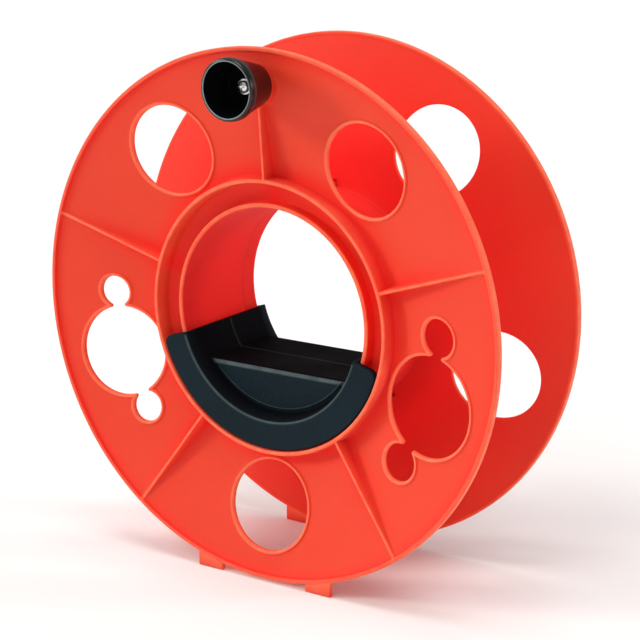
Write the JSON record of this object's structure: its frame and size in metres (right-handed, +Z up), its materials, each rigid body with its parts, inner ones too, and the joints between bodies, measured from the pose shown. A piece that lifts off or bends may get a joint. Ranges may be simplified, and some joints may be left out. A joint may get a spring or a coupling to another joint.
{
  "type": "extension cord reel",
  "caption": "Open-hub reel for winding an extension cord: two ribbed plastic flanges on a drum, a hand grip that spins inside the hub, and a cup-shaped crank knob.",
  "frame": {"origin": "middle of the overall length, width and depth at the level of the feet", "axes": "+Z up, the reel's axis along Y with the crank knob towards -Y, X across the flanges"},
  "size_m": [0.33, 0.1292, 0.332],
  "materials": {
    "reel_plastic": "orange-red polypropylene with a fine moulded texture",
    "grip_plastic": "black plastic with a fine grained texture",
    "knob_plastic": "smooth glossy black plastic",
    "screw_steel": "bright zinc-plated steel"
  },
  "bodies": {
    "reel": {"front_reel_half": "reel_plastic", "rear_reel_half": "reel_plastic", "knob_washer": "screw_steel", "knob_screw": "screw_steel"},
    "grip": {"grip_front_half": "grip_plastic", "grip_rear_half": "grip_plastic", "grip_screw_left": "screw_steel", "grip_screw_right": "screw_steel"},
    "knob": {"crank_knob": "knob_plastic"}
  },
  "joints": [
    {"name": "grip_spin", "type": "hinge", "parent": "reel", "child": "grip", "pos_m": [0, 0.01365, 0.167], "axis": [0, 1, 0], "continuous": true},
    {"name": "knob_spin", "type": "hinge", "parent": "reel", "child": "knob", "pos_m": [0, -0.05065, 0.31], "axis": [0, 1, 0], "continuous": true}
  ]
}
